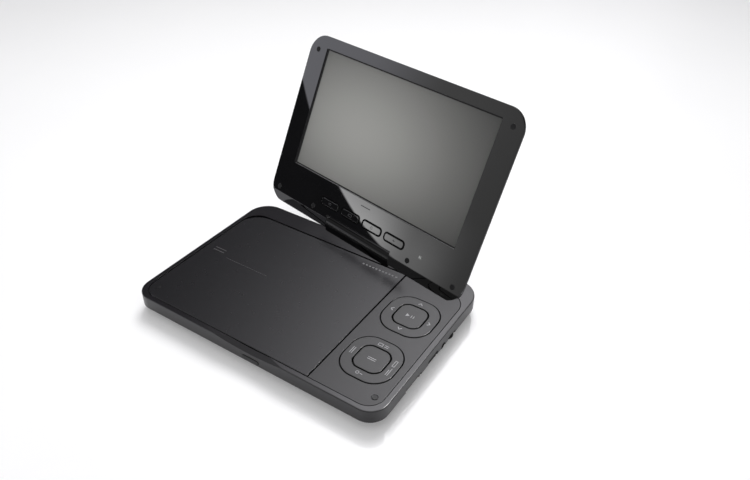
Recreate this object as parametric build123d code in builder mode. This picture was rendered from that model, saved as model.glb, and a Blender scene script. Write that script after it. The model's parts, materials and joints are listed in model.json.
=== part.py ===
from build123d import *
from math import cos, radians, sin
import os

os.makedirs("parts", exist_ok=True)

# Portable disc player: a flat base with a disc bay and a key panel, and a screen on a
# hinge that both swivels and tilts.
# Frame: origin at the centre of the base's flat underside, +X to the right, +Y to the
# rear, +Z up, millimetres. The screen is drawn open, leaning back and slightly turned.

# ------------------------------------------------------------------ base, driving sizes
BASE_WIDTH = 215.5
BASE_DEPTH = 149.0
BASE_TOP = 16.0  # height of the top face above the underside
SEAM_Z = 6.2  # where the upper and lower shells meet
FRONT_CORNER = 14.0  # plan radius of the front corners
REAR_CORNER = 18.0
WALL = 2.0
RIM_EDGE = 0.8  # soft edge round the top face
TUCK = 5.6  # how far the lower shell draws in under the base
FLOOR = 1.6  # lower shell's floor
PLATE = 2.0  # upper shell's deck
FOOT_HEIGHT = 2.0
FIT = 0.05  # radial running clearance of every turning pair

# Recess in the top face that takes the disc lid and the key panel
RECESS_WIDTH = 207.6
RECESS_DEPTH = 127.9
RECESS_Y = -6.85
RECESS_FRONT_CORNER = 12.5
RECESS_REAR_CORNER = 14.5
RECESS_FLOOR = BASE_TOP - 2.4
LEDGE = 1.5  # shelf that the key panel rests on
SHEET = 2.2  # lid and key panel thickness
GROOVE = 0.6  # gap round the lid
PANEL_GAP = 0.3
DIVIDER_X = 51.3  # line between lid and key panel

# Disc bay
DISC_X = -26.1
DISC_Y = -8.5
DISC_RADIUS = 60.0
WELL_RADIUS = DISC_RADIUS + 1.5
WELL_FLOOR = 9.0
WELL_SKIN = 1.5
DISC_Z = 11.2  # underside of a seated disc

# Disc lid hinge, at the rear of the lid
LID_REAR_GAP = 1.2  # room for the rear edge to swing down
LID_REAR_CORNER = 19.5
LID_AXIS_Y = 51.0
LID_AXIS_Z = 12.6
LID_EAR = 70.4  # ear centre, sideways from the disc centre
LID_EAR_WIDTH = 3.0
LID_PIN_RADIUS = 0.8
TROUGH_FRONT = 49.0
TROUGH_REAR = 57.9
TROUGH_LIP = 1.0  # deck left over the trough's rear edge
TROUGH_LEFT = -103.3
TROUGH_RIGHT = 51.1

# Finger scoop and open button at the front
SCOOP_X = 2.5
OPEN_X = 5.5
OPEN_Z = 8.6

# Keys on the base
KEY_X = 77.9
RING_KEY_Y = (16.9, -34.1)  # playback keys, menu keys
RING_WIDTH = 39.4
RING_CORNER = 15.0
CENTRE_WIDTH = 22.0
CENTRE_CORNER = 6.9
KEY_SLIT = 0.5  # round the rings
CENTRE_SLIT = 0.8  # round the centre keys
KEY_TOP = BASE_TOP + 0.3

# Bumpers that the folded screen rests on
BUMPER_XY = {"panel_bumper": (97.5, -60.8), "lid_bumper": (-96.6, -60.6)}
BUMPER_RADIUS = 2.0
BUMPER_POCKET = 0.6

# Side ports, right wall, rear to front
PORT_Z = 6.2
DIAL_Y = 25.5
DIAL_RADIUS = 6.4
DIAL_WIDTH = 2.4
DIAL_PROUD = 0.65
PHONES_Y = 13.0
USB_Y = -2.0
LED_Y = -19.0
CARD_Y = -30.0
CARD_SLOT = 17.0
# Left wall
POWER_Y = 30.0
DC_Y = 8.0
AV_Y = -8.0
SOCKET_RADIUS = 1.8  # 3.5 mm plug
DC_RADIUS = 2.8

# ---------------------------------------------------------------- screen, driving sizes
SCREEN_WIDTH = 213.0
SCREEN_TOP = 59.1  # above the window centre
SCREEN_BOTTOM = -88.7
SCREEN_THICKNESS = 11.4
SCREEN_TOP_CORNER = 16.0
SCREEN_BOTTOM_CORNER = 17.0
SIDE_BAND = 2.4  # straight part of the screen's edge, which the front housing forms
BACK_TUCK = 8.0  # how far the rear cover draws in
SKIN = 1.6
WINDOW_WIDTH = 176.0
WINDOW_HEIGHT = 99.4
LCD_DEPTH = 1.8  # glass below the front face
FACET_V = -79.8  # crease above the lower edge

# Hinge: the swivel and tilt axes cross here
HINGE_Y = 67.0
HINGE_Z = BASE_TOP + 6.4
HINGE_V = -83.0  # tilt axis below the window centre
HINGE_DEPTH = 5.7  # tilt axis behind the screen's front face
REST_SWIVEL = -11.3
REST_TILT = 114.4  # from closed
BARREL_HALF = 35.2
BARREL_RADIUS = 5.0
NOTCH_HALF = 35.8
NOTCH_V = -76.4
SHAFT_RADIUS = 2.0
POST_RADIUS = 4.0

SCREEN_KEY_U = (-36.0, -12.2, 12.0, 36.0)
SCREEN_KEY_V = -67.0
SCREEN_KEY_WIDTH = 19.4
SCREEN_KEY_HEIGHT = 5.6
SCREW_COVER_UV = ((-97.5, 46.5), (97.5, 46.5), (-97.5, -75.6), (97.5, -75.6), (-53.4, -75.6), (53.4, -75.6))
SCREW_COVER_RADIUS = 2.1

# Planes of the moving parts in the drawn pose
TURN = radians(REST_SWIVEL)
LEAN = radians(REST_TILT)
TURRET = Plane((0, HINGE_Y, HINGE_Z), x_dir=(cos(TURN), sin(TURN), 0), z_dir=(0, 0, 1))
TILT = Plane(
    TURRET.origin,
    x_dir=TURRET.x_dir,
    z_dir=-TURRET.y_dir * sin(LEAN) - TURRET.z_dir * cos(LEAN),
)  # x across, y up the screen, z out of its face
SCREEN = Plane(
    TILT.origin - TILT.y_dir * HINGE_V + TILT.z_dir * HINGE_DEPTH,
    x_dir=TILT.x_dir,
    z_dir=TILT.z_dir,
)
BARREL = Plane(TURRET.origin, x_dir=TURRET.y_dir, z_dir=TURRET.x_dir)
PROFILE = Plane(SCREEN.origin, x_dir=SCREEN.y_dir, z_dir=SCREEN.x_dir)  # x up the screen


def rounded(width, height, low_corner, high_corner):
    """Rectangle with one radius at its low-Y corners and another at its high-Y corners."""
    with BuildSketch(Plane.XY) as shape:
        Rectangle(width, height)
        fillet(shape.vertices().group_by(Axis.Y)[0], low_corner)
        fillet(shape.vertices().group_by(Axis.Y)[-1], high_corner)
    return shape.sketch


def squircle(width, corner):
    """Square with well rounded corners."""
    return rounded(width, width, corner, corner)


def at(x, y, sketch):
    """The sketch moved in its own plane."""
    return Pos(x, y) * sketch


def save(builder, label):
    """Label one finished piece and write its file."""
    builder.part.label = label
    export_step(builder.part, f"parts/{label}.step")


BASE_PLAN = rounded(BASE_WIDTH, BASE_DEPTH, FRONT_CORNER, REAR_CORNER)
INNER_PLAN = offset(BASE_PLAN, amount=-WALL)
RECESS_PLAN = at(
    0, RECESS_Y, rounded(RECESS_WIDTH, RECESS_DEPTH, RECESS_FRONT_CORNER, RECESS_REAR_CORNER)
)
LID_SIDE = Pos(DIVIDER_X - BASE_WIDTH / 2, 0) * Rectangle(BASE_WIDTH, BASE_DEPTH)
PANEL_SIDE = Pos(DIVIDER_X + BASE_WIDTH / 2, 0) * Rectangle(BASE_WIDTH, BASE_DEPTH)
BAY_PLAN = RECESS_PLAN & LID_SIDE
PANEL_HOLE_PLAN = offset(RECESS_PLAN & PANEL_SIDE, amount=-LEDGE)
LID_OUTLINE = at(
    0,
    RECESS_Y - LID_REAR_GAP / 2,
    rounded(RECESS_WIDTH, RECESS_DEPTH - LID_REAR_GAP, RECESS_FRONT_CORNER, LID_REAR_CORNER),
)
LID_PLAN = offset(BAY_PLAN, amount=-GROOVE) & LID_OUTLINE
PANEL_PLAN = offset(RECESS_PLAN & PANEL_SIDE, amount=-PANEL_GAP)
TROUGH_PLAN = at(
    (TROUGH_LEFT + TROUGH_RIGHT) / 2,
    (TROUGH_REAR + TROUGH_FRONT) / 2,
    Rectangle(TROUGH_RIGHT - TROUGH_LEFT, TROUGH_REAR - TROUGH_FRONT),
)
WELL_PLAN = at(DISC_X, DISC_Y, Circle(WELL_RADIUS + WELL_SKIN))
TRAY_PLAN = offset(RECESS_PLAN, amount=WALL) & INNER_PLAN
HOLLOW_PLAN = offset(BAY_PLAN, amount=-WALL) - WELL_PLAN - offset(TROUGH_PLAN, amount=WELL_SKIN)
RING_PLAN = squircle(RING_WIDTH, RING_CORNER)
RING_HOLE_PLAN = offset(RING_PLAN, amount=KEY_SLIT)
CENTRE_PLAN = squircle(CENTRE_WIDTH, CENTRE_CORNER)
CENTRE_HOLE_PLAN = offset(CENTRE_PLAN, amount=CENTRE_SLIT)

CASE_SCREW_XY = ((-98.3, -63.3), (98.3, -63.3), (-97, 61), (97, 61), (-30, 66), (30, 66))
SCREW_SHANK = 1.3
SCREW_HEAD = 2.6

# ------------------------------------------------------------------- loader, sizes
# The laser sled travels to the right of the spindle.
SLED_TRAVEL = 33.0
LENS_START = 25.0  # lens distance from the spindle in the drawn pose
ROD_OFFSET = 19.0
ROD_RADIUS = 1.0
MECH_Z = 4.6  # height of rods and lead screw
SCREW_OFFSET = 25.0
LEAD_RADIUS = 1.2
CHASSIS_LEFT, CHASSIS_RIGHT = -58.0, 50.0
CHASSIS_HALF = 34.0
CHASSIS_Z = 6.3
CHASSIS_SHEET = 1.0
TRACK_LEFT, TRACK_RIGHT = -13.0, 45.0
LOADER_SCREW_X = (CHASSIS_LEFT + 5.0, 26.0)
LOADER_SCREW_Y = (DISC_Y - CHASSIS_HALF + 4.0, DISC_Y + CHASSIS_HALF - 4.0)
LOADER_SCREW_XY = tuple((x, y) for x in LOADER_SCREW_X for y in LOADER_SCREW_Y)
TURNTABLE_HOLE = 15.0
LENS_WINDOW = 20.0  # width of the sled window in the bay floor


# =========================================================== base: shells and fixed parts
def cut_ports():
    """Open the side walls of the active base shell for the ports."""
    wall_x = BASE_WIDTH / 2 - WALL
    reach = 3 * WALL + TUCK
    room = 14.0  # clear space kept behind the wall for the parts
    for side, y, length, height, inner_length, inner_height in (
        (1, DIAL_Y, 10.9, DIAL_WIDTH + 0.8, 13.4, DIAL_WIDTH + 0.8),
        (1, USB_Y, 13.4, 5.8, 13.6, 5.8),
        (1, CARD_Y, CARD_SLOT + 0.6, 3.0, CARD_SLOT + 0.8, 3.2),
        (1, PHONES_Y, 0, 0, 7.6, 5.8),
        (-1, POWER_Y, 9.0, 3.0, 16.0, 2.6),
        (-1, DC_Y, 0, 0, 9.6, 5.8),
        (-1, AV_Y, 0, 0, 7.6, 5.8),
    ):
        if length:
            with BuildSketch(Plane.XY.offset(PORT_Z - height / 2)) as slot:
                with Locations((side * wall_x, y)):
                    Rectangle(reach, length)
            extrude(slot.sketch, amount=height, mode=Mode.SUBTRACT)
        with BuildSketch(Plane.XY.offset(PORT_Z - inner_height / 2)) as pocket:
            with Locations((side * (wall_x - room / 2), y)):
                Rectangle(room, inner_length)
        extrude(pocket.sketch, amount=inner_height, mode=Mode.SUBTRACT)
    for side, y, radius in (
        (1, PHONES_Y, 3.0),
        (1, LED_Y, 1.35),
        (-1, DC_Y, 4.0),
        (-1, AV_Y, 3.0),
    ):
        with BuildSketch(Plane((side * (wall_x - reach / 2), y, PORT_Z), z_dir=(side, 0, 0))) as hole:
            Circle(radius)
        extrude(hole.sketch, amount=reach, mode=Mode.SUBTRACT)


with BuildPart() as base_top_cover:
    with BuildSketch(Plane.XY.offset(SEAM_Z)):
        add(BASE_PLAN)
    extrude(amount=BASE_TOP - SEAM_Z)
    fillet(base_top_cover.faces().sort_by(Axis.Z)[-1].edges(), RIM_EDGE)
    with BuildSketch(Plane.XY.offset(SEAM_Z)):
        add(INNER_PLAN)
    extrude(amount=BASE_TOP - PLATE - SEAM_Z, mode=Mode.SUBTRACT)
    # Tray under the lid, and the walls of the key panel opening
    with BuildSketch(Plane.XY.offset(WELL_FLOOR - WELL_SKIN)):
        add(TRAY_PLAN)
    extrude(amount=BASE_TOP - PLATE - WELL_FLOOR + WELL_SKIN)
    with BuildSketch(Plane.XY.offset(RECESS_FLOOR)):
        add(RECESS_PLAN)
    extrude(amount=BASE_TOP - RECESS_FLOOR, mode=Mode.SUBTRACT)
    with BuildSketch():
        add(PANEL_HOLE_PLAN)
    extrude(amount=BASE_TOP, mode=Mode.SUBTRACT)
    # Disc well and the trough that the lid's rear edge swings down into
    with BuildSketch(Plane.XY.offset(WELL_FLOOR)):
        with Locations((DISC_X, DISC_Y)):
            Circle(WELL_RADIUS)
    extrude(amount=BASE_TOP - WELL_FLOOR, mode=Mode.SUBTRACT)
    with BuildSketch(Plane.XY.offset(WELL_FLOOR)):
        add(TROUGH_PLAN)
    extrude(amount=BASE_TOP - TROUGH_LIP - WELL_FLOOR, mode=Mode.SUBTRACT)
    # The tray is hollow from below outside the well and the trough
    with BuildSketch():
        add(HOLLOW_PLAN)
    extrude(amount=RECESS_FLOOR - WELL_SKIN, mode=Mode.SUBTRACT)
    # Turntable hole and sled window in the well floor
    with BuildSketch():
        with Locations((DISC_X, DISC_Y)):
            Circle(TURNTABLE_HOLE)
        window_length = LENS_START + SLED_TRAVEL + 8
        with Locations((DISC_X + window_length / 2, DISC_Y)):
            Rectangle(window_length, LENS_WINDOW)
    extrude(amount=BASE_TOP, mode=Mode.SUBTRACT)
    # Bosses that carry the lid's pins
    for side in (-1, 1):
        boss_x = DISC_X + side * (LID_EAR - LID_EAR_WIDTH / 2 - 0.3 - 1.5)
        with BuildSketch(Plane((boss_x - 1.5, LID_AXIS_Y, LID_AXIS_Z), x_dir=(0, 1, 0), z_dir=(1, 0, 0))):
            Circle(1.15)
            with Locations((0, (WELL_FLOOR - LID_AXIS_Z) / 2)):
                Rectangle(2.3, LID_AXIS_Z - WELL_FLOOR)
            Circle(LID_PIN_RADIUS, mode=Mode.SUBTRACT)
        extrude(amount=3.0)
    # Screw bosses
    for places, boss_top in (
        (CASE_SCREW_XY[:2], RECESS_FLOOR),
        (CASE_SCREW_XY[2:], BASE_TOP - PLATE),
    ):
        with BuildSketch(Plane.XY.offset(SEAM_Z)) as boss:
            with Locations(*places):
                Circle(SCREW_HEAD + 0.8)
        extrude(boss.sketch, amount=boss_top - SEAM_Z)
    with BuildSketch(Plane.XY.offset(SEAM_Z)):
        with Locations(*CASE_SCREW_XY):
            Circle(SCREW_SHANK)
    extrude(amount=6.4, mode=Mode.SUBTRACT)
    with BuildSketch():
        with Locations(*LOADER_SCREW_XY):
            Circle(1.1)
    extrude(amount=WELL_FLOOR - 0.4, mode=Mode.SUBTRACT)
    # Swivel bore
    with BuildSketch():
        with Locations((0, HINGE_Y)):
            Circle(POST_RADIUS + FIT)
    extrude(amount=2 * BASE_TOP, mode=Mode.SUBTRACT)
    # Finger scoop in the front rim, and the window of the open button
    scoop_length = 64.0
    scoop_depth = 2.2
    scoop_radius = (scoop_length**2 / 4 + scoop_depth**2) / (2 * scoop_depth)
    scoop_slope = radians(24)
    scoop_low = Vector(SCOOP_X, RECESS_Y - RECESS_DEPTH / 2 + 0.4, BASE_TOP - 0.5)
    scoop_plane = Plane(
        scoop_low + Vector(0, -sin(scoop_slope), cos(scoop_slope)) * scoop_radius,
        x_dir=(1, 0, 0),
        z_dir=(0, -cos(scoop_slope), -sin(scoop_slope)),
    )
    with BuildSketch(scoop_plane):
        Circle(scoop_radius)
    extrude(amount=12, mode=Mode.SUBTRACT)
    with BuildSketch(Plane((OPEN_X, -BASE_DEPTH / 2 - 1, OPEN_Z), x_dir=(1, 0, 0), z_dir=(0, 1, 0))):
        SlotOverall(15.0, 3.8)
    extrude(amount=WALL + 4.4, mode=Mode.SUBTRACT)
    # Slot in the bay floor for the lid's hook
    with BuildSketch():
        with Locations((OPEN_X, RECESS_Y - RECESS_DEPTH / 2 + 3.2)):
            Rectangle(9.0, 4.4)
    extrude(amount=BASE_TOP, mode=Mode.SUBTRACT)
    cut_ports()
save(base_top_cover, "base_top_cover")


with BuildPart() as lower_cavity:
    with BuildSketch(Plane.XY.offset(FLOOR)):
        add(INNER_PLAN)
    extrude(amount=SEAM_Z - FLOOR)
    chamfer(lower_cavity.faces().sort_by(Axis.Z)[0].edges(), SEAM_Z - FLOOR - 0.6)

with BuildPart() as base_bottom_cover:
    with BuildSketch():
        add(BASE_PLAN)
    extrude(amount=SEAM_Z)
    chamfer(base_bottom_cover.faces().sort_by(Axis.Z)[0].edges(), TUCK)
    fillet(base_bottom_cover.faces().sort_by(Axis.Z)[0].edges(), 3.0)
    add(lower_cavity.part, mode=Mode.SUBTRACT)
    # Bosses that the case screws pass through
    with BuildSketch(Plane.XY.offset(FLOOR / 2)):
        with Locations(*CASE_SCREW_XY):
            Circle(SCREW_HEAD + 0.8)
    extrude(amount=SEAM_Z - FLOOR / 2 - 0.05)
    with BuildSketch():
        with Locations(*CASE_SCREW_XY):
            Circle(SCREW_SHANK + 0.1)
    extrude(amount=SEAM_Z, mode=Mode.SUBTRACT)
    with BuildSketch():
        with Locations(*CASE_SCREW_XY):
            Circle(SCREW_HEAD + 0.2)
    extrude(amount=2.2, mode=Mode.SUBTRACT)
    # Speaker and cooling slots
    with BuildSketch():
        for x in (-62, 62):
            with Locations((x, 62)):
                with GridLocations(3.2, 0, 8, 1):
                    SlotOverall(7.0, 1.3, rotation=90)
        with Locations((76, -20)):
            with GridLocations(4.0, 0, 8, 1):
                SlotOverall(24.0, 1.6, rotation=90)
    extrude(amount=FLOOR, mode=Mode.SUBTRACT)
    cut_ports()
save(base_bottom_cover, "base_bottom_cover")

with BuildPart() as rubber_feet:
    with BuildSketch(Plane.XY.offset(-FOOT_HEIGHT)):
        with GridLocations(BASE_WIDTH - 50, BASE_DEPTH - 46, 2, 2):
            Circle(5.5)
    extrude(amount=FOOT_HEIGHT)
    chamfer(rubber_feet.faces().group_by(Axis.Z)[0].edges(), 0.5)
save(rubber_feet, "rubber_feet")

with BuildPart() as case_screws:
    with BuildSketch(Plane.XY.offset(0.4)):
        with Locations(*CASE_SCREW_XY):
            Circle(SCREW_HEAD)
    extrude(amount=1.8)
    with BuildSketch(Plane.XY.offset(0.4)):
        with Locations(*CASE_SCREW_XY):
            Rectangle(3.0, 0.7)
            Rectangle(0.7, 3.0)
    extrude(amount=0.8, mode=Mode.SUBTRACT)
    with BuildSketch(Plane.XY.offset(2.2)):
        with Locations(*CASE_SCREW_XY):
            Circle(SCREW_SHANK)
    extrude(amount=9.0)
save(case_screws, "case_screws")

# ---------------------------------------------------------------- key panel and its keys
with BuildPart() as control_panel:
    with BuildSketch(Plane.XY.offset(BASE_TOP - SHEET)):
        add(PANEL_PLAN)
        for y in RING_KEY_Y:
            add(at(KEY_X, y, RING_HOLE_PLAN), mode=Mode.SUBTRACT)
    extrude(amount=SHEET)
    chamfer(control_panel.faces().sort_by(Axis.Z)[-1].edges(), 0.25)
    with BuildSketch(Plane.XY.offset(BASE_TOP - BUMPER_POCKET)):
        with Locations(BUMPER_XY["panel_bumper"]):
            Circle(BUMPER_RADIUS + 0.35)
    extrude(amount=BUMPER_POCKET, mode=Mode.SUBTRACT)
save(control_panel, "control_panel")

for label, (x, y) in BUMPER_XY.items():
    with BuildPart() as bumper:
        with BuildSketch(Plane.XY.offset(BASE_TOP - BUMPER_POCKET)):
            with Locations((x, y)):
                Circle(BUMPER_RADIUS)
        extrude(amount=BUMPER_POCKET + 0.3)
        fillet(bumper.faces().sort_by(Axis.Z)[-1].edges(), 0.25)
    save(bumper, label)

WEB_PLAN = squircle(29.0, 9.0) - offset(CENTRE_PLAN, amount=1.5)
KEY_LABELS = (
    ("playback_ring", "playback_ring_web", "play_key"),
    ("menu_ring", "menu_ring_web", "enter_key"),
)
for y, (ring_label, web_label, key_label) in zip(RING_KEY_Y, KEY_LABELS):
    with BuildPart() as ring:
        with BuildSketch(Plane.XY.offset(BASE_TOP - SHEET + 0.4)):
            add(at(KEY_X, y, RING_PLAN))
            add(at(KEY_X, y, CENTRE_HOLE_PLAN), mode=Mode.SUBTRACT)
        extrude(amount=KEY_TOP - BASE_TOP + SHEET - 0.4)
        fillet(ring.faces().sort_by(Axis.Z)[-1].edges(), 0.45)
    save(ring, ring_label)
    # Soft frame that the ring rocks on, sideways; the frame itself rocks fore and aft
    with BuildPart() as web:
        with BuildSketch(Plane.XY.offset(13.2)):
            add(at(KEY_X, y, WEB_PLAN))
        extrude(amount=0.5)
    save(web, web_label)
    with BuildPart() as key:
        with BuildSketch(Plane.XY.offset(13.2)):
            add(at(KEY_X, y, CENTRE_PLAN))
        extrude(amount=KEY_TOP - 13.2)
        fillet(key.faces().sort_by(Axis.Z)[-1].edges(), 0.45)
    save(key, key_label)

KEY_DECK = Pos(KEY_X + 0.2, -8.6) * Rectangle(46.0, 110.0) - Pos(CASE_SCREW_XY[1]) * Circle(4.4)
with BuildPart() as key_mat:
    with BuildSketch(Plane.XY.offset(11.6)):
        add(KEY_DECK)
    extrude(amount=0.6)
    with BuildSketch(Plane.XY.offset(12.2)):
        for y in RING_KEY_Y:
            with Locations((KEY_X, y)):
                Circle(4.0)
                with PolarLocations(15.6, 4):
                    Circle(2.6)
    extrude(amount=0.4)
save(key_mat, "key_mat")

with BuildPart() as key_board:
    with BuildSketch(Plane.XY.offset(10.4)):
        add(KEY_DECK)
    extrude(amount=1.15)
save(key_board, "key_board")

# ---------------------------------------------------------------------------- disc lid
with BuildPart() as disc_lid:
    with BuildSketch(Plane.XY.offset(BASE_TOP - SHEET)):
        add(LID_PLAN)
    extrude(amount=SHEET)
    chamfer(disc_lid.faces().sort_by(Axis.Z)[-1].edges(), 0.3)
    with BuildSketch(Plane.XY.offset(BASE_TOP - BUMPER_POCKET)):
        with Locations(BUMPER_XY["lid_bumper"]):
            Circle(BUMPER_RADIUS + 0.35)
    extrude(amount=BUMPER_POCKET, mode=Mode.SUBTRACT)
    # Hinge ears under the rear corners
    for side in (-1, 1):
        ear_x = DISC_X + side * LID_EAR - LID_EAR_WIDTH / 2
        with BuildSketch(Plane((ear_x, LID_AXIS_Y, LID_AXIS_Z), x_dir=(0, 1, 0), z_dir=(1, 0, 0))):
            Circle(1.8)
        extrude(amount=LID_EAR_WIDTH)
        with BuildSketch(Plane((ear_x, LID_AXIS_Y, LID_AXIS_Z), x_dir=(0, 1, 0), z_dir=(1, 0, 0))):
            Circle(LID_PIN_RADIUS + FIT)
        extrude(amount=LID_EAR_WIDTH, mode=Mode.SUBTRACT)
    # Hook under the front edge, which the open button holds
    hook_y = RECESS_Y - RECESS_DEPTH / 2 + 3.6
    with BuildSketch(Plane((OPEN_X - 3.5, hook_y, BASE_TOP - SHEET), x_dir=(0, 1, 0), z_dir=(1, 0, 0))):
        with BuildLine():
            Polyline((-0.8, 0), (-0.8, -3.2), (-1.8, -3.6), (-0.8, -5.4), (0.6, -5.4), (0.6, 0), close=True)
        make_face()
    extrude(amount=7.0)
save(disc_lid, "disc_lid")

with BuildPart() as lid_pins:
    for side in (-1, 1):
        pin_x = DISC_X + side * (LID_EAR - LID_EAR_WIDTH / 2 - 0.3 - 1.5) - 1.5
        start_x = pin_x if side > 0 else pin_x - LID_EAR_WIDTH - 0.3
        with BuildSketch(Plane((start_x, LID_AXIS_Y, LID_AXIS_Z), x_dir=(0, 1, 0), z_dir=(1, 0, 0))):
            Circle(LID_PIN_RADIUS)
        extrude(amount=3.0 + 0.3 + LID_EAR_WIDTH)
save(lid_pins, "lid_hinge_pins")

with BuildPart() as open_button:
    with BuildSketch(Plane((OPEN_X, -BASE_DEPTH / 2 - 0.5, OPEN_Z), x_dir=(1, 0, 0), z_dir=(0, 1, 0))):
        SlotOverall(14.4, 3.2)
    extrude(amount=2.3)
    fillet(open_button.faces().sort_by(Axis.Y)[0].edges(), 0.4)
    catch_y = -BASE_DEPTH / 2 + 1.8
    with BuildSketch(Plane((OPEN_X, catch_y, OPEN_Z), x_dir=(1, 0, 0), z_dir=(0, 1, 0))):
        Rectangle(8.0, 3.2)
    extrude(amount=1.9)
save(open_button, "open_button")

# ------------------------------------------------------------------------------- loader
with BuildPart() as loader_chassis:
    with BuildSketch(Plane.XY.offset(CHASSIS_Z)):
        with Locations(((CHASSIS_LEFT + CHASSIS_RIGHT) / 2, DISC_Y)):
            RectangleRounded(CHASSIS_RIGHT - CHASSIS_LEFT, 2 * CHASSIS_HALF, 4.0)
        with Locations(((TRACK_LEFT + TRACK_RIGHT) / 2, DISC_Y - 3)):
            Rectangle(TRACK_RIGHT - TRACK_LEFT, 50.0, mode=Mode.SUBTRACT)
        with Locations((-21.0, DISC_Y - SCREW_OFFSET)):
            Rectangle(20.0, 8.0, mode=Mode.SUBTRACT)
        with Locations((DISC_X, DISC_Y)):
            Circle(8.0, mode=Mode.SUBTRACT)
        with Locations(*LOADER_SCREW_XY):
            Circle(1.5, mode=Mode.SUBTRACT)
    extrude(amount=CHASSIS_SHEET)
    # Lugs that hold the guide rods and the far end of the lead screw
    lug_low = MECH_Z - 1.6
    for lug_x, rows in (
        (TRACK_LEFT - 2.0, (-ROD_OFFSET, ROD_OFFSET)),
        (TRACK_RIGHT, (-ROD_OFFSET, ROD_OFFSET, -SCREW_OFFSET)),
    ):
        with BuildSketch(Plane.XY.offset(lug_low)):
            for row in rows:
                with Locations((lug_x + 1.0, DISC_Y + row)):
                    Rectangle(2.0, 4.4)
        extrude(amount=CHASSIS_Z - lug_low)
        with BuildSketch(Plane((lug_x, DISC_Y, MECH_Z), x_dir=(0, 1, 0), z_dir=(1, 0, 0))):
            for row in rows:
                with Locations((row, 0)):
                    Circle(ROD_RADIUS + (FIT if row == -SCREW_OFFSET else 0))
        extrude(amount=2.0, mode=Mode.SUBTRACT)
save(loader_chassis, "loader_chassis")

with BuildPart() as loader_dampers:
    with BuildSketch(Plane.XY.offset(CHASSIS_Z - 2.2)):
        with Locations(*LOADER_SCREW_XY):
            Circle(2.8)
            Circle(1.5, mode=Mode.SUBTRACT)
    extrude(amount=2.2)
save(loader_dampers, "loader_dampers")

with BuildPart() as loader_screws:
    with BuildSketch(Plane.XY.offset(CHASSIS_Z - 3.4)):
        with Locations(*LOADER_SCREW_XY):
            Circle(2.4)
    extrude(amount=1.2)
    with BuildSketch(Plane.XY.offset(CHASSIS_Z - 2.2)):
        with Locations(*LOADER_SCREW_XY):
            Circle(1.1)
    extrude(amount=4.4)
save(loader_screws, "loader_screws")

with BuildPart() as guide_rods:
    with BuildSketch(Plane((TRACK_LEFT - 2.0, DISC_Y, MECH_Z), x_dir=(0, 1, 0), z_dir=(1, 0, 0))):
        with Locations((-ROD_OFFSET, 0), (ROD_OFFSET, 0)):
            Circle(ROD_RADIUS)
    extrude(amount=TRACK_RIGHT - TRACK_LEFT + 4.0)
save(guide_rods, "guide_rods")

with BuildPart() as spindle_motor:
    with BuildSketch(Plane.XY.offset(2.2)):
        with Locations((DISC_X, DISC_Y)):
            Circle(11.0)
    extrude(amount=CHASSIS_Z - 2.2)
    with BuildSketch(Plane.XY.offset(CHASSIS_Z)):
        with Locations((DISC_X, DISC_Y)):
            Circle(7.5)
    extrude(amount=1.4)
    with BuildSketch(Plane.XY.offset(3.0)):
        with Locations((DISC_X, DISC_Y)):
            Circle(1.5 + FIT)
    extrude(amount=6.0, mode=Mode.SUBTRACT)
save(spindle_motor, "spindle_motor")

with BuildPart() as turntable:
    with BuildSketch(Plane((DISC_X, DISC_Y, 0), x_dir=(1, 0, 0), z_dir=(0, -1, 0))):
        with BuildLine():
            Polyline(
                (0, 3.4),
                (1.5, 3.4),
                (1.5, 8.2),
                (13.0, 8.2),
                (13.0, DISC_Z),
                (7.4, DISC_Z),
                (7.4, 12.6),
                (6.4, 13.4),
                (0, 13.4),
                close=True,
            )
        make_face()
    revolve(axis=Axis((DISC_X, DISC_Y, 0), (0, 0, 1)))
    # Pockets for the three clamping balls
    with BuildSketch(Plane.XY.offset(DISC_Z + 0.2)):
        with Locations((DISC_X, DISC_Y)):
            with PolarLocations(6.9, 3):
                Rectangle(2.4, 2.2)
    extrude(amount=1.9, mode=Mode.SUBTRACT)
save(turntable, "turntable")

with BuildPart() as clamp_balls:
    with Locations((DISC_X, DISC_Y, DISC_Z + 1.15)):
        with PolarLocations(6.85, 3):
            Sphere(0.9)
save(clamp_balls, "clamp_balls")

with BuildPart() as sled_motor:
    with BuildSketch(Plane((-30.0, DISC_Y - SCREW_OFFSET, MECH_Z), x_dir=(0, 1, 0), z_dir=(1, 0, 0))):
        Circle(2.8)
    extrude(amount=14.0)
    with BuildSketch(Plane((-30.0, DISC_Y - SCREW_OFFSET, MECH_Z), x_dir=(0, 1, 0), z_dir=(1, 0, 0))):
        Circle(LEAD_RADIUS * 0.7 + FIT)
    extrude(amount=14.0, mode=Mode.SUBTRACT)
save(sled_motor, "sled_motor")

with BuildPart() as lead_screw:
    screw_y = DISC_Y - SCREW_OFFSET
    thread_start = -14.0
    thread_end = TRACK_RIGHT - 1.0
    with BuildSketch(Plane((-28.0, screw_y, MECH_Z), x_dir=(0, 1, 0), z_dir=(1, 0, 0))):
        Circle(LEAD_RADIUS * 0.7)
    extrude(amount=TRACK_RIGHT + 28.0)
    with BuildSketch(Plane((thread_start, screw_y, MECH_Z), x_dir=(0, 1, 0), z_dir=(1, 0, 0))):
        Circle(LEAD_RADIUS)
    extrude(amount=thread_end - thread_start)
    with BuildSketch(Plane((thread_end, screw_y, MECH_Z), x_dir=(0, 1, 0), z_dir=(1, 0, 0))):
        Circle(ROD_RADIUS)
    extrude(amount=2.6)
save(lead_screw, "lead_screw")

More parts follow.
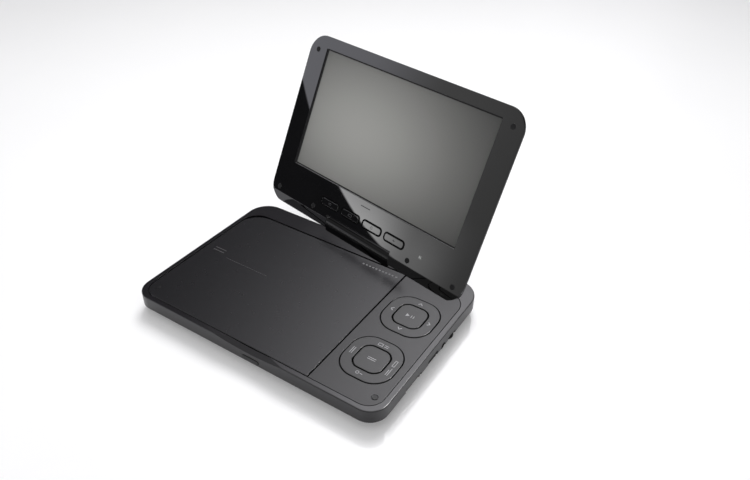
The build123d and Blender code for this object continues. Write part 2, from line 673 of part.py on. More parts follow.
SLED_X = DISC_X + LENS_START
with BuildPart() as pickup_sled:
    with BuildSketch(Plane.XY.offset(2.2)):
        with Locations((SLED_X, DISC_Y)):
            Rectangle(20.0, 2 * ROD_OFFSET + 5.0)
            with Locations((0, -ROD_OFFSET)):
                Rectangle(7.0, 15.2)
    extrude(amount=5.0)
    with BuildSketch(Plane.XY.offset(7.2)):
        with Locations((SLED_X, DISC_Y)):
            RectangleRounded(15.0, 17.0, 1.5)
    extrude(amount=1.2)
    with BuildSketch(Plane.XY.offset(7.0)):
        with Locations((SLED_X, DISC_Y)):
            RectangleRounded(11.0, 13.0, 1.0)
    extrude(amount=2.0, mode=Mode.SUBTRACT)
    with BuildSketch(Plane((SLED_X - 12, DISC_Y, MECH_Z), x_dir=(0, 1, 0), z_dir=(1, 0, 0))):
        with Locations((-ROD_OFFSET, 0), (ROD_OFFSET, 0)):
            Circle(ROD_RADIUS + FIT)
    extrude(amount=24.0, mode=Mode.SUBTRACT)
    # Clearance round the lead screw under the drive arm
    with BuildSketch(Plane((SLED_X - 12, DISC_Y - SCREW_OFFSET, MECH_Z), x_dir=(0, 1, 0), z_dir=(1, 0, 0))):
        Circle(LEAD_RADIUS + 0.15)
    extrude(amount=24.0, mode=Mode.SUBTRACT)
save(pickup_sled, "pickup_sled")

with BuildPart() as objective_lens:
    with BuildSketch(Plane.XY.offset(7.6)):
        with Locations((SLED_X, DISC_Y)):
            RectangleRounded(8.0, 10.0, 1.0)
    extrude(amount=1.0)
    with Locations((SLED_X, DISC_Y, 8.0)):
        Sphere(1.9)
    split(bisect_by=Plane.XY.offset(7.6), keep=Keep.TOP)
save(objective_lens, "objective_lens")

# --------------------------------------------------------------------- base electronics
BOARD_LEFT = 55.0
BOARD_RIGHT = BASE_WIDTH / 2 - WALL - 0.6
DIAL_X = BASE_WIDTH / 2 - DIAL_RADIUS + DIAL_PROUD
with BuildPart() as main_board:
    with BuildSketch(Plane.XY.offset(2.4)):
        with Locations(((BOARD_LEFT + BOARD_RIGHT) / 2 - 1.8, -11.0)):
            Rectangle(BOARD_RIGHT - BOARD_LEFT - 5.4, 84.0)
    extrude(amount=1.0)
    # Soldered chips, coil and memory
    with BuildSketch(Plane.XY.offset(3.4)):
        with Locations((70.0, -8.0)):
            Rectangle(20.0, 20.0)
        with Locations((70.0, -32.0)):
            Rectangle(11.0, 18.0)
        with Locations((66.0, 14.0)):
            Rectangle(9.0, 6.0)
        with Locations((80.0, 22.0)):
            Circle(4.0)
    extrude(amount=1.6)
    # Stud that the volume dial turns on
    with BuildSketch(Plane.XY.offset(3.4)):
        with Locations((DIAL_X, DIAL_Y)):
            Circle(1.2)
        with Locations((DIAL_X - 2.4, DIAL_Y)):
            Rectangle(4.8, 2.0)
    extrude(amount=PORT_Z - DIAL_WIDTH / 2 - 0.1 - 3.4)
    with BuildSketch(Plane.XY.offset(PORT_Z - DIAL_WIDTH / 2 - 0.1)):
        with Locations((DIAL_X, DIAL_Y)):
            Circle(1.0)
    extrude(amount=DIAL_WIDTH + 0.5)
save(main_board, "main_board")

OUTER_X = BASE_WIDTH / 2
with BuildPart() as usb_port:
    with BuildSketch(Plane((OUTER_X - 1.2, USB_Y, PORT_Z), x_dir=(0, 1, 0), z_dir=(-1, 0, 0))):
        Rectangle(13.1, 5.5)
    extrude(amount=14.0)
    with BuildSketch(Plane((OUTER_X - 1.2, USB_Y, PORT_Z), x_dir=(0, 1, 0), z_dir=(-1, 0, 0))):
        Rectangle(12.3, 4.7)
        with Locations((0, 0.9)):
            Rectangle(11.1, 1.9, mode=Mode.SUBTRACT)
    extrude(amount=12.0, mode=Mode.SUBTRACT)
save(usb_port, "usb_port")

with BuildPart() as card_slot:
    with BuildSketch(Plane((OUTER_X - 1.4, CARD_Y, PORT_Z), x_dir=(0, 1, 0), z_dir=(-1, 0, 0))):
        Rectangle(CARD_SLOT, 2.8)
    extrude(amount=18.0)
    with BuildSketch(Plane((OUTER_X - 1.4, CARD_Y, PORT_Z), x_dir=(0, 1, 0), z_dir=(-1, 0, 0))):
        Rectangle(CARD_SLOT - 1.0, 1.8)
    extrude(amount=17.0, mode=Mode.SUBTRACT)
save(card_slot, "card_slot")


def socket(label, side, y, body_width, bore, collar, depth, pin=0):
    """Round socket facing out of a side wall: a box behind the wall, a collar in its hole, and
    a contact pin if one is given."""
    front = OUTER_X - 0.6
    face = Plane((side * front, y, PORT_Z), x_dir=(0, side, 0), z_dir=(-side, 0, 0))
    with BuildPart() as jack:
        with BuildSketch(face):
            Circle(collar)
        extrude(amount=3.0)
        with BuildSketch(face.offset(WALL + 0.2)):
            Rectangle(body_width, 5.4)
        extrude(amount=depth - WALL + 1.0)
        with BuildSketch(face):
            Circle(bore)
            if pin:
                Circle(pin, mode=Mode.SUBTRACT)
        extrude(amount=depth, mode=Mode.SUBTRACT)
        if pin:
            with BuildSketch(face):
                Circle(pin)
            extrude(amount=1.5, mode=Mode.SUBTRACT)
    save(jack, label)


socket("headphone_jack", 1, PHONES_Y, 7.0, SOCKET_RADIUS, 2.8, 12.0)
socket("av_jack", -1, AV_Y, 7.0, SOCKET_RADIUS, 2.8, 12.0)
socket("dc_jack", -1, DC_Y, 9.0, DC_RADIUS, 3.8, 9.5, pin=0.65)

with BuildPart() as volume_dial:
    with BuildSketch(Plane.XY.offset(PORT_Z - DIAL_WIDTH / 2)):
        with Locations((DIAL_X, DIAL_Y)):
            Circle(DIAL_RADIUS)
            Circle(1.0 + FIT, mode=Mode.SUBTRACT)
            with PolarLocations(DIAL_RADIUS + 0.1, 36):
                Circle(0.35, mode=Mode.SUBTRACT)
    extrude(amount=DIAL_WIDTH)
save(volume_dial, "volume_dial")

with BuildPart() as power_switch:
    with BuildSketch(Plane((-OUTER_X - 0.9, POWER_Y - 1.5, PORT_Z), x_dir=(0, -1, 0), z_dir=(1, 0, 0))):
        Rectangle(4.0, 2.2)
    extrude(amount=4.0)
    with BuildSketch(Plane((-OUTER_X + 2.4, POWER_Y - 1.5, PORT_Z), x_dir=(0, -1, 0), z_dir=(1, 0, 0))):
        Rectangle(12.0, 2.2)
    extrude(amount=0.8)
save(power_switch, "power_switch")

with BuildPart() as battery_cells:
    with BuildSketch(Plane.XY.offset(1.8)):
        with Locations((-76.8, -33.0), (-76.8, 19.0)):
            RectangleRounded(32.6, 49.0, 2.0)
    extrude(amount=5.2)
    fillet(battery_cells.edges().filter_by(Axis.Z, reverse=True).group_by(Axis.Z)[-1], 0.8)
save(battery_cells, "battery_cells")

with BuildPart() as speakers:
    with BuildSketch(Plane.XY.offset(1.8)):
        with Locations((-62.0, 62.0), (62.0, 62.0)):
            RectangleRounded(30.0, 12.0, 3.0)
    extrude(amount=4.6)
save(speakers, "speakers")

# =============================================================================== hinge
TURRET_AXIS = Axis(TURRET.origin, TURRET.x_dir)

with BuildPart() as swivel_turret:
    # Block under the barrel, hollowed for the shafts
    turret_bottom = HINGE_Z - BASE_TOP - 0.3
    with BuildSketch(BARREL.offset(-BARREL_HALF)):
        Circle(BARREL_RADIUS)
        with Locations((0, -turret_bottom / 2)):
            Rectangle(2 * BARREL_RADIUS, turret_bottom)
    extrude(amount=2 * BARREL_HALF)
    fillet(swivel_turret.edges().filter_by(TURRET_AXIS).group_by(Axis.Z)[0], 0.8)
    with BuildSketch(BARREL.offset(-BARREL_HALF + 3.0)):
        Circle(BARREL_RADIUS - 1.4)
    extrude(amount=2 * BARREL_HALF - 6.0, mode=Mode.SUBTRACT)
    with BuildSketch(BARREL.offset(-BARREL_HALF)):
        Circle(SHAFT_RADIUS + FIT)
    extrude(amount=2 * BARREL_HALF, mode=Mode.SUBTRACT)
    with BuildSketch(Plane(TURRET.origin, z_dir=(0, 0, -1))):
        Circle(POST_RADIUS)
    extrude(amount=HINGE_Z, mode=Mode.SUBTRACT)
    split(bisect_by=Plane(TURRET.origin, z_dir=(0, 0, 1)), keep=Keep.BOTTOM)
save(swivel_turret, "swivel_turret")

with BuildPart() as barrel_cover:
    with BuildSketch(BARREL.offset(-BARREL_HALF)):
        Circle(BARREL_RADIUS)
    extrude(amount=2 * BARREL_HALF)
    with BuildSketch(BARREL.offset(-BARREL_HALF + 3.0)):
        Circle(BARREL_RADIUS - 1.4)
    extrude(amount=2 * BARREL_HALF - 6.0, mode=Mode.SUBTRACT)
    with BuildSketch(BARREL.offset(-BARREL_HALF)):
        Circle(SHAFT_RADIUS + FIT)
    extrude(amount=2 * BARREL_HALF, mode=Mode.SUBTRACT)
    split(bisect_by=Plane(TURRET.origin, z_dir=(0, 0, 1)), keep=Keep.TOP)
save(barrel_cover, "barrel_cover")

with BuildPart() as swivel_post:
    with BuildSketch(Plane((0, HINGE_Y, BASE_TOP - PLATE - 1.6))):
        Circle(POST_RADIUS)
        Circle(POST_RADIUS - 1.2, mode=Mode.SUBTRACT)
    extrude(amount=HINGE_Z - 1.2 - BASE_TOP + PLATE + 1.6)
save(swivel_post, "swivel_post")

with BuildPart() as swivel_retainer:
    with BuildSketch(Plane((0, HINGE_Y, BASE_TOP - PLATE - 1.4))):
        Circle(POST_RADIUS + 1.2)
        Circle(POST_RADIUS, mode=Mode.SUBTRACT)
    extrude(amount=1.2)
save(swivel_retainer, "swivel_retainer")

with BuildPart() as friction_sleeves:
    for side in (-1, 1):
        with BuildSketch(BARREL.offset(side * 28.0 - 3.5)):
            Circle(BARREL_RADIUS - 1.5)
            Circle(SHAFT_RADIUS + FIT, mode=Mode.SUBTRACT)
        extrude(amount=7.0)
save(friction_sleeves, "friction_sleeves")

with BuildPart() as hinge_cable:
    with BuildSketch(Plane((0, HINGE_Y, 9.0))):
        Circle(1.6)
    extrude(amount=HINGE_Z - 9.0)
save(hinge_cable, "hinge_cable")

with BuildPart() as tilt_shafts:
    for side in (-1, 1):
        with BuildSketch(BARREL.offset(side * 34.5 - 11.5)):
            Circle(SHAFT_RADIUS)
        extrude(amount=23.0)
save(tilt_shafts, "tilt_shafts")


# ============================================================================== screen
def screen_form(inset):
    """Outer form of the screen, drawn in by inset: full plan at the front, tucked in behind."""
    width = SCREEN_WIDTH - 2 * inset
    height = SCREEN_TOP - SCREEN_BOTTOM - 2 * inset
    middle = (SCREEN_TOP + SCREEN_BOTTOM) / 2
    plan = at(
        0, middle, rounded(width, height, SCREEN_BOTTOM_CORNER - inset, SCREEN_TOP_CORNER - inset)
    )
    # Drawn longer at the bottom, so that only the top and the sides tuck in
    longer = 20.0
    long_plan = at(
        0,
        middle - longer / 2,
        rounded(width, height + longer, SCREEN_TOP_CORNER - inset, SCREEN_TOP_CORNER - inset),
    )
    depth = SCREEN_THICKNESS - 2 * inset
    nose = HINGE_DEPTH - inset
    crease = FACET_V + HINGE_DEPTH - nose
    axis_v = HINGE_V
    with BuildPart() as form:
        with BuildSketch(SCREEN.offset(-inset)):
            add(long_plan)
        extrude(amount=-depth)
        back = form.faces().sort_by(Axis(SCREEN.origin, SCREEN.z_dir))[0]
        chamfer(back.edges(), SCREEN_THICKNESS - SIDE_BAND - inset, BACK_TUCK - inset / 2)
        back = form.faces().sort_by(Axis(SCREEN.origin, SCREEN.z_dir))[0]
        fillet(back.edges(), 7.0)
        # Side profile: flat face, slanted facet, round nose, flat back
        dip = nose * cos(radians(45))
        with BuildSketch(PROFILE) as profile:
            with BuildLine():
                Polyline(
                    (crease, -inset),
                    (SCREEN_TOP + 5, -inset),
                    (SCREEN_TOP + 5, -SCREEN_THICKNESS + inset),
                    (axis_v, -SCREEN_THICKNESS + inset),
                )
                ThreePointArc(
                    (axis_v, -SCREEN_THICKNESS + inset),
                    (axis_v - nose, -HINGE_DEPTH),
                    (axis_v - dip, -HINGE_DEPTH + dip),
                )
                Line((axis_v - dip, -HINGE_DEPTH + dip), (crease, -inset))
            make_face()
            fillet(profile.vertices().sort_by_distance((crease, -inset))[0], 2.0)
        extrude(amount=SCREEN_WIDTH, both=True, mode=Mode.INTERSECT)
        with BuildSketch(SCREEN.offset(-inset)):
            add(plan)
        extrude(amount=-depth, mode=Mode.INTERSECT)
    return form.part


OUTER_FORM = screen_form(0)
INNER_FORM = screen_form(SKIN)

FRONT_AXIS = Axis(SCREEN.origin, SCREEN.z_dir)
NOTCH_HEIGHT = NOTCH_V - SCREEN_BOTTOM + 4.0
NOTCH_PLAN = at(0, NOTCH_V - NOTCH_HEIGHT / 2, Rectangle(2 * NOTCH_HALF, NOTCH_HEIGHT))
KEY_ROW = [(u, SCREEN_KEY_V) for u in SCREEN_KEY_U]

with BuildPart() as screen_bezel:
    add(OUTER_FORM)
    add(INNER_FORM, mode=Mode.SUBTRACT)
    split(bisect_by=SCREEN.offset(-SIDE_BAND), keep=Keep.TOP)
    with BuildSketch(SCREEN):
        RectangleRounded(WINDOW_WIDTH, WINDOW_HEIGHT, 0.8)
        add(NOTCH_PLAN)
        with Locations(*KEY_ROW):
            RectangleRounded(SCREEN_KEY_WIDTH + 0.8, SCREEN_KEY_HEIGHT + 0.8, 2.4)
        with Locations((63.3, -68.0)):
            RectangleRounded(3.0, 2.4, 0.6)
    extrude(amount=-SCREEN_THICKNESS, mode=Mode.SUBTRACT)
    # Screw pads with a counterbore from the front
    with BuildSketch(SCREEN.offset(-SIDE_BAND)):
        with Locations(*SCREW_COVER_UV):
            Circle(SCREW_COVER_RADIUS + 1.0)
    extrude(amount=SIDE_BAND - 0.4)
    with BuildSketch(SCREEN.offset(-1.8)):
        with Locations(*SCREW_COVER_UV):
            Circle(SCREW_COVER_RADIUS)
    extrude(amount=3.0, mode=Mode.SUBTRACT)
    with BuildSketch(SCREEN):
        with Locations(*SCREW_COVER_UV):
            Circle(1.15)
    extrude(amount=-SCREEN_THICKNESS, mode=Mode.SUBTRACT)
save(screen_bezel, "screen_bezel")

with BuildPart() as screen_back_cover:
    add(OUTER_FORM)
    add(INNER_FORM, mode=Mode.SUBTRACT)
    split(bisect_by=SCREEN.offset(-SIDE_BAND), keep=Keep.BOTTOM)
    # Screw bosses from the back skin
    with BuildSketch(SCREEN.offset(-SIDE_BAND - 0.1)):
        with Locations(*SCREW_COVER_UV):
            Circle(2.6)
    extrude(amount=-SCREEN_THICKNESS)
    add(OUTER_FORM, mode=Mode.INTERSECT)
    with BuildSketch(SCREEN.offset(-SIDE_BAND)):
        with Locations(*SCREW_COVER_UV):
            Circle(1.15)
    extrude(amount=-5.0, mode=Mode.SUBTRACT)
    # Cheeks beside the hinge notch, bored for the tilt shafts
    for side in (-1, 1):
        with BuildSketch(SCREEN.offset(-SIDE_BAND - 0.1)):
            with Locations((side * (NOTCH_HALF + 0.8), (FACET_V + SCREEN_BOTTOM) / 2 + 1.6)):
                Rectangle(1.6, 7.0)
        extrude(amount=-SCREEN_THICKNESS + SIDE_BAND + 1.0)
    with BuildSketch(SCREEN):
        add(NOTCH_PLAN)
    extrude(amount=-SCREEN_THICKNESS - 1, mode=Mode.SUBTRACT)
    with BuildSketch(BARREL.offset(-NOTCH_HALF - 8)):
        Circle(SHAFT_RADIUS + 0.2)
    extrude(amount=2 * NOTCH_HALF + 16, mode=Mode.SUBTRACT)
save(screen_back_cover, "screen_back_cover")

with BuildPart() as hinge_brackets:
    for side in (-1, 1):
        with BuildSketch(BARREL.offset(side * 39.4 - 0.8)):
            Circle(3.1)
            Circle(SHAFT_RADIUS, mode=Mode.SUBTRACT)
        extrude(amount=1.6)
        with BuildSketch(SCREEN.offset(-HINGE_DEPTH - 2.2)):
            with Locations((side * 39.4, -76.0)):
                Rectangle(1.6, 9.6)
        extrude(amount=3.6)
        with BuildSketch(SCREEN.offset(-HINGE_DEPTH - 3.2)):
            with Locations((side * 44.0, -74.4)):
                Rectangle(10.8, 12.2)
        extrude(amount=1.2)
save(hinge_brackets, "hinge_brackets")

with BuildPart() as lcd_panel:
    with BuildSketch(SCREEN.offset(-LCD_DEPTH)):
        Rectangle(WINDOW_WIDTH + 8, WINDOW_HEIGHT + 6)
    extrude(amount=-2.2)
save(lcd_panel, "lcd_panel")

with BuildPart() as backlight_tray:
    with BuildSketch(SCREEN.offset(-LCD_DEPTH - 2.3)):
        Rectangle(WINDOW_WIDTH + 8, WINDOW_HEIGHT + 6)
    extrude(amount=-2.6)
save(backlight_tray, "backlight_tray")

with BuildPart() as screen_board:
    with BuildSketch(SCREEN.offset(-7.4)):
        with Locations((-10, -10)):
            Rectangle(110.0, 50.0)
    extrude(amount=-1.0)
save(screen_board, "screen_board")

with BuildPart() as screen_key_board:
    with BuildSketch(SCREEN.offset(-2.9)):
        with Locations((2.0, -66.0)):
            Rectangle(128.0, 13.0)
        with Locations((-53.4, -75.6), (53.4, -75.6)):
            Circle(3.4, mode=Mode.SUBTRACT)
    extrude(amount=-1.0)
save(screen_key_board, "screen_key_board")

SCREEN_KEY_LABELS = ("mode_key", "source_key", "picture_key", "mute_key")
for u, label in zip(SCREEN_KEY_U, SCREEN_KEY_LABELS):
    with BuildPart() as screen_key:
        with BuildSketch(SCREEN.offset(-SKIN)):
            with Locations((u, SCREEN_KEY_V)):
                RectangleRounded(SCREEN_KEY_WIDTH, SCREEN_KEY_HEIGHT, 2.0)
        extrude(amount=SKIN + 0.3)
        fillet(screen_key.faces().sort_by(FRONT_AXIS)[-1].edges(), 0.4)
        with BuildSketch(SCREEN.offset(-SKIN - 0.75)):
            with Locations((u, SCREEN_KEY_V)):
                RectangleRounded(SCREEN_KEY_WIDTH + 2.2, SCREEN_KEY_HEIGHT + 2.2, 3.0)
        extrude(amount=0.7)
        with BuildSketch(SCREEN.offset(-SKIN - 0.1)):
            with Locations((u, SCREEN_KEY_V)):
                RectangleRounded(SCREEN_KEY_WIDTH, SCREEN_KEY_HEIGHT, 2.0)
        extrude(amount=0.2)
    save(screen_key, label)

with BuildPart() as screen_screws:
    with BuildSketch(SCREEN.offset(-1.8)):
        with Locations(*SCREW_COVER_UV):
            Circle(1.8)
    extrude(amount=0.9)
    with BuildSketch(SCREEN.offset(-1.8)):
        with Locations(*SCREW_COVER_UV):
            Circle(1.1)
    extrude(amount=-5.0)
save(screen_screws, "screen_screws")

with BuildPart() as screw_covers:
    with BuildSketch(SCREEN.offset(-0.8)):
        with Locations(*SCREW_COVER_UV):
            Circle(SCREW_COVER_RADIUS - 0.02)
    extrude(amount=0.95)
    fillet(screw_covers.faces().group_by(FRONT_AXIS)[-1].edges(), 0.12)
save(screw_covers, "screw_covers")

with BuildPart() as power_led:
    with BuildSketch(SCREEN.offset(-2.6)):
        with Locations((63.3, -68.0)):
            RectangleRounded(2.9, 2.3, 0.5)
    extrude(amount=2.65)
save(power_led, "power_led")
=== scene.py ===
import json
import math

import bmesh
import bpy
from mathutils import Matrix, Vector

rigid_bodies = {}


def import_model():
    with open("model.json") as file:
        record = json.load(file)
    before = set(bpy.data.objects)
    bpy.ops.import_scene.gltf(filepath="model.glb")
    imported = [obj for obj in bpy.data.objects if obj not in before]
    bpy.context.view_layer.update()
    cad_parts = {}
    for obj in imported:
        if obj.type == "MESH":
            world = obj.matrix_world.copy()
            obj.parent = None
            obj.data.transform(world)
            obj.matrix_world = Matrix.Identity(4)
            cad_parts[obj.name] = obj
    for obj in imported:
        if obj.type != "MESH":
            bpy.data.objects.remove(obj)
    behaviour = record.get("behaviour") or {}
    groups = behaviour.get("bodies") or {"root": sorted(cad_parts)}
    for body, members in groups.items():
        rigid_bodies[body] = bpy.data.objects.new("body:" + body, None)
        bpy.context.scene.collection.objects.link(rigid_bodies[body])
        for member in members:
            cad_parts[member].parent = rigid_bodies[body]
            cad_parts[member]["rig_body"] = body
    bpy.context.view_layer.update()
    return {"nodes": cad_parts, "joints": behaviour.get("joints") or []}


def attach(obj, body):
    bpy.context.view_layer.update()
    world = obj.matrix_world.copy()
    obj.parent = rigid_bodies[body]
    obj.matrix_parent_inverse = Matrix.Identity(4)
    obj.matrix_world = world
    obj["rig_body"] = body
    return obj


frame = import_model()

MM = 0.001
nodes = frame["nodes"]


# ------------------------------------------------------------------ places in the frame
def joint(name):
    return next(j for j in frame["joints"] if j["name"] == name)


def place(origin, x_axis, z_axis):
    """Matrix of a local frame with that origin (metres), x axis and z axis."""
    z = Vector(z_axis).normalized()
    x = Vector(x_axis).normalized()
    y = z.cross(x).normalized()
    turn = Matrix((x, y, z)).transposed().to_4x4()
    return Matrix.Translation(origin) @ turn


HINGE = Vector(joint("screen_tilt")["pos_m"])
ACROSS = -Vector(joint("screen_tilt")["axis"])
OUT = -Vector(joint("mode_press")["axis"])
UP = OUT.cross(ACROSS)
SCREEN = place(HINGE + 83.0 * MM * UP + 5.7 * MM * OUT, ACROSS, OUT)
BASE_TOP = 16.0
KEY_TOP = 16.3
KEY_X = 77.9
RING_Y = {"playback": 16.9, "menu": -34.1}


# ------------------------------------------------------------------------ node material
class Look:
    """A procedural material built up from noise in the object's own metres."""

    def __init__(self, name):
        self.material = bpy.data.materials.new(name)
        self.material.use_nodes = True
        self.tree = self.material.node_tree
        self.shader = self.tree.nodes["Principled BSDF"]
        self.coords = self.tree.nodes.new("ShaderNodeTexCoord").outputs["Object"]

    def node(self, kind, inputs=None, **settings):
        made = self.tree.nodes.new(kind)
        for key, value in settings.items():
            setattr(made, key, value)
        for key, value in (inputs or {}).items():
            if isinstance(value, bpy.types.NodeSocket):
                self.tree.links.new(value, made.inputs[key])
            else:
                made.inputs[key].default_value = value
        return made

    def set(self, **inputs):
        for key, value in inputs.items():
            target = self.shader.inputs[key.replace("_", " ")]
            if isinstance(value, bpy.types.NodeSocket):
                self.tree.links.new(value, target)
            else:
                target.default_value = value

    def stretched(self, scale):
        return self.node("ShaderNodeMapping", {"Vector": self.coords, "Scale": scale}).outputs[0]

    def noise(self, size_mm, detail=3.0, rough=0.5, vector=None):
        made = self.node(
            "ShaderNodeTexNoise",
            {"Vector": vector or self.coords, "Scale": 1.0 / (size_mm * MM), "Detail": detail,
             "Roughness": rough},
        )
        return made.outputs["Fac"]

    def ramp(self, value, low, high, start=0.3, end=0.7):
        return self.node(
            "ShaderNodeMapRange",
            {"Value": value, "From Min": start, "From Max": end, "To Min": low, "To Max": high},
        ).outputs["Result"]

    def mix(self, factor, first, second):
        made = self.node("ShaderNodeMix", data_type="RGBA")
        for key, value in ((0, factor), (6, first), (7, second)):
            if isinstance(value, bpy.types.NodeSocket):
                self.tree.links.new(value, made.inputs[key])
            else:
                made.inputs[key].default_value = value
        return made.outputs[2]

    def bump(self, height, depth_mm, edge_mm=0.0, strength=1.0):
        inputs = {"Height": height, "Distance": depth_mm * MM, "Strength": strength}
        if edge_mm:
            edge = self.node("ShaderNodeBevel", {"Radius": edge_mm * MM}, samples=6)
            inputs["Normal"] = edge.outputs[0]
        return self.node("ShaderNodeBump", inputs).outputs[0]


def shade(colour, factor):
    return tuple(c * factor for c in colour[:3]) + (1.0,)


def paint_shine_on_top(look):
    """Upward faces shine less at the left, painted shade, and more towards the keys, painted light."""
    up = look.node("ShaderNodeSeparateXYZ", {0: look.node("ShaderNodeTexCoord").outputs["Normal"]})
    along = look.node("ShaderNodeSeparateXYZ", {0: look.coords}).outputs["X"]
    top = look.ramp(along, 0.22, 0.72, -0.06, 0.09)
    mixed = look.node("ShaderNodeMix", {0: look.ramp(up.outputs["Z"], 0.0, 1.0, 0.6, 0.95), 2: 0.6, 3: top})
    look.set(Specular_IOR_Level=mixed.outputs[0])


def dull_below(look, level=0.5, low=0.12):
    """Less mirror shine on faces of the screen frame that lean towards the base."""
    facing = look.node("ShaderNodeVectorMath", operation="DOT_PRODUCT",
                       inputs={0: look.node("ShaderNodeTexCoord").outputs["Normal"], 1: OUT})
    look.set(Specular_IOR_Level=look.ramp(facing.outputs["Value"], low, level, 0.9, 0.97))


def plastic(name, colour, rough, grain_mm=0.25, depth_mm=0.01, edge_mm=0.2, spread=0.12,
            rough_spread=0.05, specular=0.5, coat=0.0, brushed=None, front_only=False,
            painted_top_shine=False):
    """Moulded plastic: mottled colour, uneven gloss, fine grain and softened edges."""
    look = Look(name)
    patches = look.ramp(look.noise(14.0, 2.0), 0.0, 1.0)
    fine = look.noise(grain_mm, 2.0)
    tone = look.mix(patches, shade(colour, 1 - spread), shade(colour, 1 + spread))
    if brushed:
        hair = look.noise(1.0, 3.0, 0.6, look.stretched(brushed))
        tone = look.mix(look.ramp(hair, 0.0, 0.55), tone, shade(colour, 1 + 2.2 * spread))
    look.set(Base_Color=tone, Specular_IOR_Level=specular)
    look.set(Roughness=look.ramp(look.noise(5.0, 3.0), rough - rough_spread, rough + rough_spread))
    look.set(Normal=look.bump(fine, depth_mm, edge_mm))
    if coat:
        look.set(Coat_Weight=coat, Coat_Roughness=0.04)
    if front_only:
        dull_below(look)
    if painted_top_shine:
        paint_shine_on_top(look)
    return look.material


def metal(name, colour, rough, stretch=(1.0, 1.0, 1.0), size_mm=0.6, edge_mm=0.12):
    """Bare metal with drawn or brushed scratches."""
    look = Look(name)
    scratches = look.noise(size_mm, 4.0, 0.6, look.stretched(stretch))
    look.set(Base_Color=look.mix(look.ramp(scratches, 0.0, 1.0), shade(colour, 0.75), shade(colour, 1.1)))
    look.set(Metallic=1.0, Roughness=look.ramp(scratches, rough - 0.08, rough + 0.1))
    look.set(Normal=look.bump(scratches, 0.006, edge_mm))
    return look.material


MAT = {
    # The case's upward faces carry painted shade at the left and painted light towards the keys, in the
    # strength of their shine
    "case": plastic("case_plastic", (0.0075, 0.0068, 0.0085), 0.3, 0.2, 0.001, spread=0.08,
                    rough_spread=0.01, painted_top_shine=True),
    "lid": plastic("lid_plastic", (0.0042, 0.0040, 0.0052), 0.27, 0.18, 0.0, spread=0.08,
                   rough_spread=0.004),
    "panel": plastic("panel_plastic", (0.010, 0.0097, 0.0103), 0.3, 0.2, 0.002, spread=0.05,
                     rough_spread=0.01),
    "keys": plastic("key_plastic", (0.016, 0.016, 0.016), 0.3, 0.3, 0.0005, 0.3, spread=0.03,
                    rough_spread=0.01),
    "key_caps": plastic("key_cap_plastic", (0.016, 0.016, 0.0155), 0.3, 0.3, 0.0005, 0.3,
                        spread=0.03, rough_spread=0.01),
    "gloss": plastic("gloss_black", (0.0022, 0.0022, 0.0024), 0.012, 0.6, 0.0, 0.25, spread=0.3,
                     rough_spread=0.004, front_only=True),
    "screen_back": plastic("screen_back_plastic", (0.006, 0.0057, 0.0065), 0.3, 0.3, 0.004,
                           specular=0.25),
    "barrel": plastic("hinge_plastic", (0.001, 0.001, 0.0012), 0.08, 0.5, 0.0005, 0.3, specular=0.22,
                      rough_spread=0.02),
    "inner": plastic("inner_plastic", (0.012, 0.012, 0.0125), 0.5, 0.5, 0.02),
    "shell": plastic("blackened_shell", (0.003, 0.003, 0.0032), 0.6, 0.5, 0.004, specular=0.1),
    # Painted shade: a black ring standing in for the dark gap around each key under the display
    "gap_shade": plastic("gap_shade_paint", (0.001, 0.001, 0.001), 0.6, 0.5, 0.001, 0.0, specular=0.05),
    "rubber": plastic("soft_rubber", (0.010, 0.010, 0.0105), 0.6, 0.15, 0.02, specular=0.25),
    "bumper": plastic("grey_rubber", (0.032, 0.032, 0.033), 0.5, 0.15, 0.01, specular=0.4),
    "steel": metal("drawn_steel", (0.55, 0.55, 0.56), 0.3),
    "zinc": metal("plated_sheet", (0.62, 0.61, 0.58), 0.35, (1.0, 0.05, 1.0), 0.8),
    "brass": metal("gilt_contact", (0.85, 0.62, 0.28), 0.25),
    "ink": plastic("legend_ink", (0.42, 0.42, 0.43), 0.5, 0.3, 0.004, 0.0, spread=0.05),
    "pale_ink": plastic("pale_legend_ink", (0.22, 0.22, 0.225), 0.5, 0.3, 0.004, 0.0, spread=0.05),
    "faint_ink": plastic("faint_legend_ink", (0.055, 0.054, 0.056), 0.5, 0.3, 0.004, 0.0, spread=0.05),
    "dim_ink": plastic("dim_legend_ink", (0.045, 0.045, 0.047), 0.45, 0.3, 0.004, 0.0, spread=0.05),
    "cell": plastic("cell_sleeve", (0.02, 0.05, 0.16), 0.3, 0.8, 0.004),
    "cone": plastic("speaker_paper", (0.015, 0.015, 0.015), 0.8, 0.2, 0.05, specular=0.2),
}


def board_look():
    """Green solder mask with copper tracks running under it."""
    look = Look("circuit_board")
    cells = look.node(
        "ShaderNodeTexBrick",
        {"Vector": look.coords, "Scale": 330.0, "Mortar Size": 0.035, "Color1": (0.006, 0.055, 0.02, 1),
         "Color2": (0.008, 0.065, 0.026, 1), "Mortar": (0.03, 0.16, 0.06, 1)},
    )
    look.set(Base_Color=cells.outputs["Color"], Roughness=look.ramp(look.noise(4.0), 0.25, 0.4))
    look.set(Normal=look.bump(cells.outputs["Fac"], 0.02, 0.1))
    return look.material


def lens_look():
    look = Look("pickup_lens")
    tint = look.mix(look.ramp(look.noise(2.0), 0, 1), (0.35, 0.4, 0.75, 1), (0.5, 0.42, 0.7, 1))
    look.set(Base_Color=tint, Roughness=0.05, Metallic=0.4, Coat_Weight=1.0)
    look.set(Normal=look.bump(look.noise(1.0), 0.001, 0.1))
    return look.material


def led_look():
    look = Look("lamp_lens")
    tint = look.mix(look.ramp(look.noise(0.5), 0, 1), (0.30, 0.31, 0.30, 1), (0.38, 0.39, 0.38, 1))
    look.set(Base_Color=tint, Roughness=0.15, Transmission_Weight=0.3)
    return look.material


